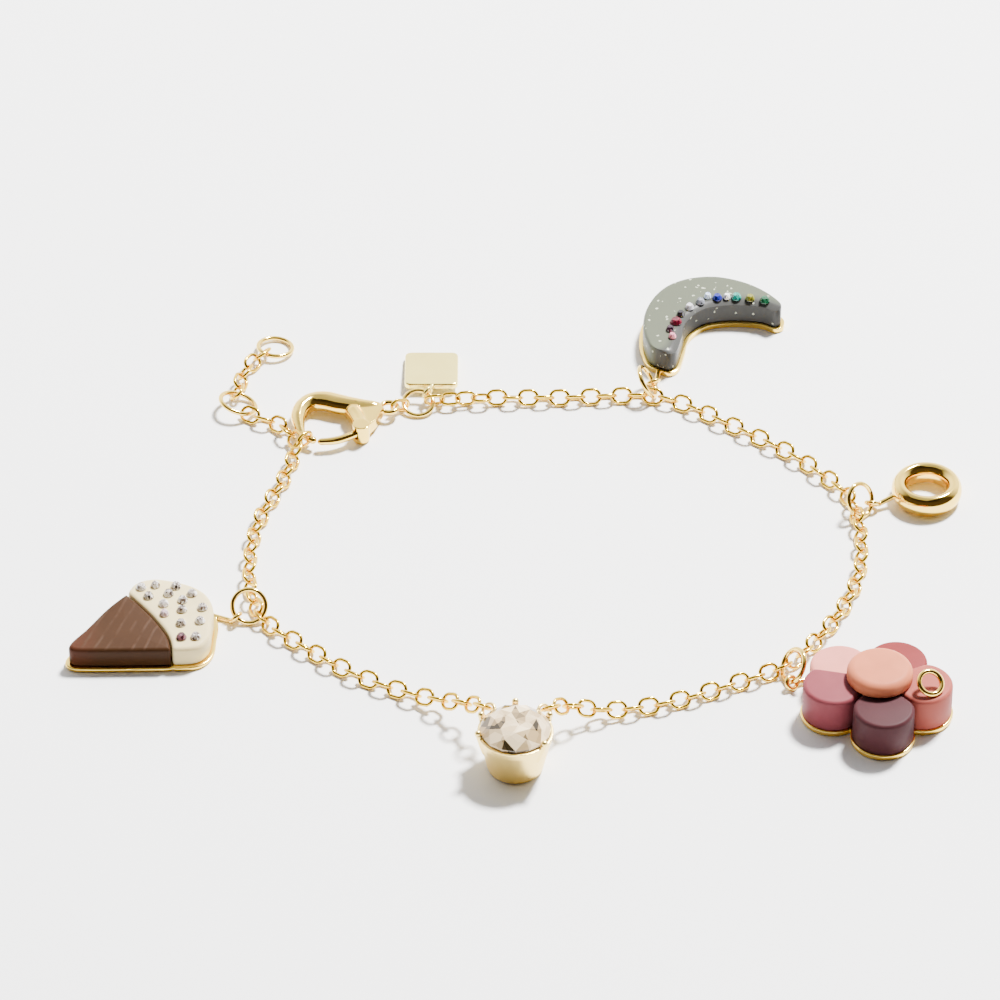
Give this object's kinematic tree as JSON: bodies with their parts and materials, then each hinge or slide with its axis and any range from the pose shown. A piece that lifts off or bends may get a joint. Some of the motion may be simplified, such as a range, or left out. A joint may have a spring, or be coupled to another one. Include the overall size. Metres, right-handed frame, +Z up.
{
  "type": "charm bracelet",
  "caption": "Fine cable-chain bracelet laid out as a loop, closed by a lobster clasp, with crystal, flower, ring, moon, tag and cone charms on jump rings and a short extender.",
  "frame": {"origin": "under the middle of the whole bracelet, on the surface that it lies on", "axes": "+Z up from the surface; +Y away from the viewer, from the crystal towards the clasp and tag; +X to the right, from the cone charm towards the flower"},
  "size_m": [0.085, 0.0748, 0.0057],
  "materials": {
    "gold": "polished pale yellow gold plate",
    "crystal_stone": "cut crystal, pale champagne",
    "moon_body": "glossy resin with fine glitter",
    "gem_plum": "cut crystal",
    "gem_pink": "cut crystal",
    "gem_maroon": "cut crystal",
    "gem_black": "cut crystal",
    "gem_clear_a": "cut crystal",
    "gem_grey": "cut crystal",
    "gem_clear_b": "cut crystal",
    "gem_blue": "cut crystal",
    "gem_white": "cut crystal",
    "gem_teal": "cut crystal",
    "gem_olive": "cut crystal",
    "gem_green": "cut crystal",
    "petal_front": "satin resin",
    "petal_right": "satin resin",
    "petal_back_right": "satin resin",
    "petal_back_left": "satin resin",
    "petal_left": "satin resin",
    "flower_center": "satin resin",
    "cone_wafer": "glossy resin with pressed wafer lines",
    "cone_cream": "glossy resin",
    "gem_cone": "cut clear crystal"
  },
  "bodies": {
    "bracelet": {"crystal_setting": "gold", "crystal_stone": "crystal_stone", "clasp_body": "gold", "tag_jump_ring": "gold", "chain_right": "gold", "chain_left": "gold", "chain_end": "gold", "extender_ring_mid": "gold", "extender_ring_end": "gold", "clasp_link": "gold", "tag": "gold", "moon_tray": "gold", "moon_body": "moon_body", "stone_moon_plum": "gem_plum", "stone_moon_pink": "gem_pink", "stone_moon_maroon": "gem_maroon", "stone_moon_black": "gem_black", "stone_moon_clear_a": "gem_clear_a", "stone_moon_grey": "gem_grey", "stone_moon_clear_b": "gem_clear_b", "stone_moon_blue": "gem_blue", "stone_moon_white": "gem_white", "stone_moon_teal": "gem_teal", "stone_moon_olive": "gem_olive", "stone_moon_green": "gem_green", "moon_jump_ring": "gold", "ring_charm": "gold", "ring_jump_ring": "gold", "flower_plate": "gold", "petal_front": "petal_front", "petal_right": "petal_right", "petal_back_right": "petal_back_right", "petal_back_left": "petal_back_left", "petal_left": "petal_left", "flower_center": "flower_center", "flower_small_ring": "gold", "flower_jump_ring": "gold", "cone_plate": "gold", "cone_wafer": "cone_wafer", "cone_cream": "cone_cream", "stone_cone_01": "gem_cone", "stone_cone_02": "gem_cone", "stone_cone_03": "gem_cone", "stone_cone_04": "gem_cone", "stone_cone_05": "gem_cone", "stone_cone_06": "gem_cone", "stone_cone_07": "gem_cone", "stone_cone_08": "gem_cone", "stone_cone_09": "gem_cone", "stone_cone_10": "gem_cone", "stone_cone_11": "gem_cone", "stone_cone_12": "gem_cone", "stone_cone_13": "gem_cone", "stone_cone_14": "gem_cone", "stone_cone_15": "gem_cone", "cone_jump_ring": "gold"},
    "lever": {"clasp_lever": "gold"}
  },
  "joints": [
    {"name": "clasp_lever_hinge", "type": "hinge", "parent": "bracelet", "child": "lever", "pos_m": [-0.01542, 0.01409, 0.00107], "axis": [0, 0, -1], "range_deg": [0, 20], "stiffness_Nm_per_rad": 0.0004, "springref_deg": -8.59}
  ]
}
